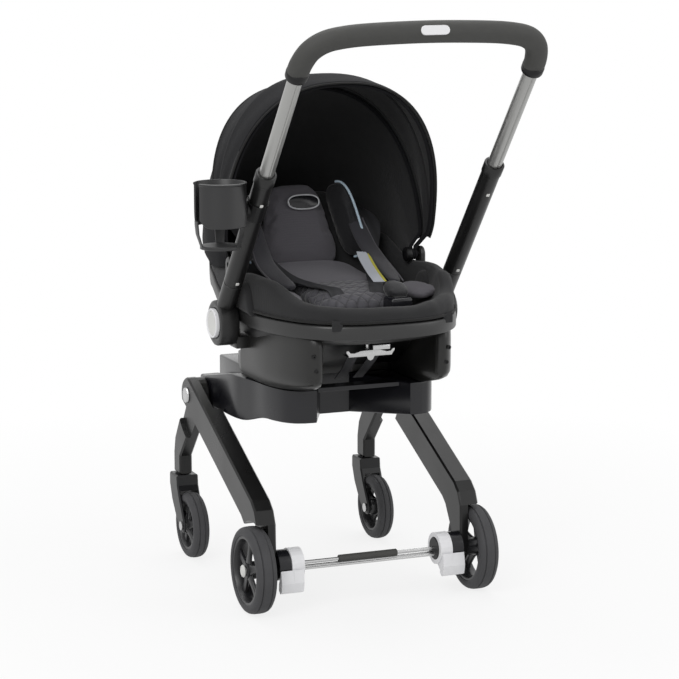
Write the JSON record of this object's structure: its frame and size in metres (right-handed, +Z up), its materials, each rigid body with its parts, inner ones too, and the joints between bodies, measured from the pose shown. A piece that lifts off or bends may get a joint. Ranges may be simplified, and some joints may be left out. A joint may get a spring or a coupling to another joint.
{
  "type": "car seat stroller",
  "caption": "Infant car seat with its own folding legs and wheels, a swinging telescopic push handle, a folding canopy, padded harness seat, cup holder and linked foot brakes.",
  "frame": {"origin": "on the ground, in the middle of the object's box; the centre plane is x = 0.0429 and the middle between the front and rear wheel axles is y = 0.0885", "axes": "+Z up, +Y the way it is pushed, towards the seat's head end; +X to the right hand of the person who pushes it"},
  "size_m": [0.5434, 0.7733, 1.0119],
  "materials": {
    "frame_plastic": "moulded, satin",
    "shell_plastic": "moulded, fine grain",
    "grey_plastic": "moulded, satin",
    "white_plastic": "moulded, semi-gloss",
    "tyre": "moulded foam rubber",
    "black_tube": "powder coated",
    "silver_tube": "satin anodised",
    "steel": "plated",
    "grip_foam": "closed-cell foam",
    "black_fabric": "woven polyester",
    "grey_fabric": "woven polyester over foam",
    "webbing": "woven webbing"
  },
  "bodies": {
    "root": {"chassis_frame": "frame_plastic", "cross_plate": "frame_plastic", "leg_pivot_bolt_left": "steel", "leg_pivot_bolt_right": "steel", "carrier_shell": "shell_plastic", "rear_cover": "grey_plastic", "carrier_base": "frame_plastic", "seat_cover": "black_fabric", "back_pad": "grey_fabric", "seat_pad": "grey_fabric", "bolster_left": "black_fabric", "bolster_right": "black_fabric", "harness_strap_left": "webbing", "harness_strap_right": "webbing", "buckle": "shell_plastic", "yoke_plate": "steel", "canopy_rear_panel": "black_fabric", "canopy_knob_left": "shell_plastic", "canopy_knob_right": "shell_plastic"},
    "rear_legs": {"rear_leg_left": "frame_plastic", "rear_leg_right": "frame_plastic", "rear_axle_left": "grey_plastic", "rear_axle_right": "grey_plastic", "brake_housing_left": "black_tube", "brake_housing_right": "black_tube"},
    "front_legs": {"front_leg_left": "frame_plastic", "front_leg_right": "frame_plastic"},
    "rear_wheel_left": {"rear_tyre_left": "tyre", "rear_rim_left": "shell_plastic"},
    "rear_wheel_right": {"rear_tyre_right": "tyre", "rear_rim_right": "shell_plastic"},
    "caster_left": {"caster_fork_left": "frame_plastic", "front_axle_left": "steel"},
    "caster_right": {"caster_fork_right": "frame_plastic", "front_axle_right": "steel"},
    "front_wheel_left": {"front_tyre_left": "tyre", "front_rim_left": "shell_plastic"},
    "front_wheel_right": {"front_tyre_right": "tyre", "front_rim_right": "shell_plastic"},
    "brake_pedals": {"brake_pedal_left": "white_plastic", "brake_pedal_right": "white_plastic", "brake_link_rod": "steel", "rod_sleeve": "grip_foam"},
    "handle": {"handle_hub_left": "black_tube", "handle_hub_right": "black_tube", "outer_tube_left": "black_tube", "outer_tube_right": "black_tube", "cup_clamp": "shell_plastic"},
    "telescope": {"inner_tube_left": "silver_tube", "inner_tube_right": "silver_tube", "grip": "grip_foam"},
    "grip_button": {"grip_button": "white_plastic"},
    "hub_button_left": {"hub_button_left": "white_plastic"},
    "hub_button_right": {"hub_button_right": "white_plastic"},
    "cup_holder": {"cup_holder": "shell_plastic"},
    "canopy_mid": {"canopy_mid_bow": "shell_plastic", "canopy_mid_panel": "black_fabric"},
    "canopy_front": {"canopy_front_bow": "shell_plastic", "canopy_front_panel": "black_fabric"},
    "buckle_button": {"buckle_button": "shell_plastic"}
  },
  "joints": [
    {"name": "rear_legs_fold", "type": "hinge", "parent": "root", "child": "rear_legs", "pos_m": [0.0429, 0.236, 0.315], "axis": [-1, 0, 0], "range_deg": [0, 33]},
    {"name": "front_legs_fold", "type": "hinge", "parent": "root", "child": "front_legs", "pos_m": [0.0429, 0.236, 0.315], "axis": [-1, 0, 0], "range_deg": [0, 69.3]},
    {"name": "brake_pedals_press", "type": "hinge", "parent": "rear_legs", "child": "brake_pedals", "pos_m": [0.0429, -0.1155, 0.082], "axis": [1, 0, 0], "range_deg": [0, 16]},
    {"name": "handle_swing", "type": "hinge", "parent": "root", "child": "handle", "pos_m": [0.0429, 0.0385, 0.48], "axis": [1, 0, 0], "range_deg": [-32, 70]},
    {"name": "handle_telescope", "type": "slide", "parent": "handle", "child": "telescope", "axis": [0, 0.6293, -0.7771], "range_m": [0, 0.2]},
    {"name": "grip_button_press", "type": "slide", "parent": "telescope", "child": "grip_button", "axis": [0, 0.9816, -0.1908], "range_m": [0, 0.004], "stiffness_N_per_m": 500},
    {"name": "hub_button_left_press", "type": "slide", "parent": "handle", "child": "hub_button_left", "axis": [1, 0, 0], "range_m": [0, 0.005], "stiffness_N_per_m": 500},
    {"name": "hub_button_right_press", "type": "slide", "parent": "handle", "child": "hub_button_right", "axis": [-1, 0, 0], "range_m": [0, 0.005], "stiffness_N_per_m": 500},
    {"name": "cup_holder_tilt", "type": "hinge", "parent": "handle", "child": "cup_holder", "pos_m": [-0.1826, -0.12645, 0.6981], "axis": [1, 0, 0], "range_deg": [-39, 39]},
    {"name": "canopy_mid_fold", "type": "hinge", "parent": "root", "child": "canopy_mid", "pos_m": [0.0429, 0.0718, 0.575], "axis": [-1, 0, 0], "range_deg": [0, 45]},
    {"name": "canopy_front_fold", "type": "hinge", "parent": "canopy_mid", "child": "canopy_front", "pos_m": [0.0429, 0.0718, 0.575], "axis": [-1, 0, 0], "range_deg": [0, 8.5]},
    {"name": "buckle_button_press", "type": "slide", "parent": "root", "child": "buckle_button", "axis": [0, 0, -1], "range_m": [0, 0.003], "stiffness_N_per_m": 500},
    {"name": "rear_wheel_left_roll", "type": "hinge", "parent": "rear_legs", "child": "rear_wheel_left", "pos_m": [-0.1636, -0.1052, 0.075], "axis": [1, 0, 0], "continuous": true},
    {"name": "caster_left_swivel", "type": "hinge", "parent": "front_legs", "child": "caster_left", "pos_m": [-0.1411, 0.3285, 0.15], "axis": [0, 0, 1], "continuous": true},
    {"name": "front_wheel_left_roll", "type": "hinge", "parent": "caster_left", "child": "front_wheel_left", "pos_m": [-0.1411, 0.2799, 0.0605], "axis": [1, 0, 0], "continuous": true},
    {"name": "rear_wheel_right_roll", "type": "hinge", "parent": "rear_legs", "child": "rear_wheel_right", "pos_m": [0.2494, -0.1052, 0.075], "axis": [1, 0, 0], "continuous": true},
    {"name": "caster_right_swivel", "type": "hinge", "parent": "front_legs", "child": "caster_right", "pos_m": [0.2269, 0.3285, 0.15], "axis": [0, 0, 1], "continuous": true},
    {"name": "front_wheel_right_roll", "type": "hinge", "parent": "caster_right", "child": "front_wheel_right", "pos_m": [0.2269, 0.2799, 0.0605], "axis": [1, 0, 0], "continuous": true}
  ],
  "couplings": [
    {"joint": "front_legs_fold", "follows": "rear_legs_fold", "ratio": 2.1},
    {"joint": "canopy_front_fold", "follows": "canopy_mid_fold", "ratio": 0.18889}
  ]
}
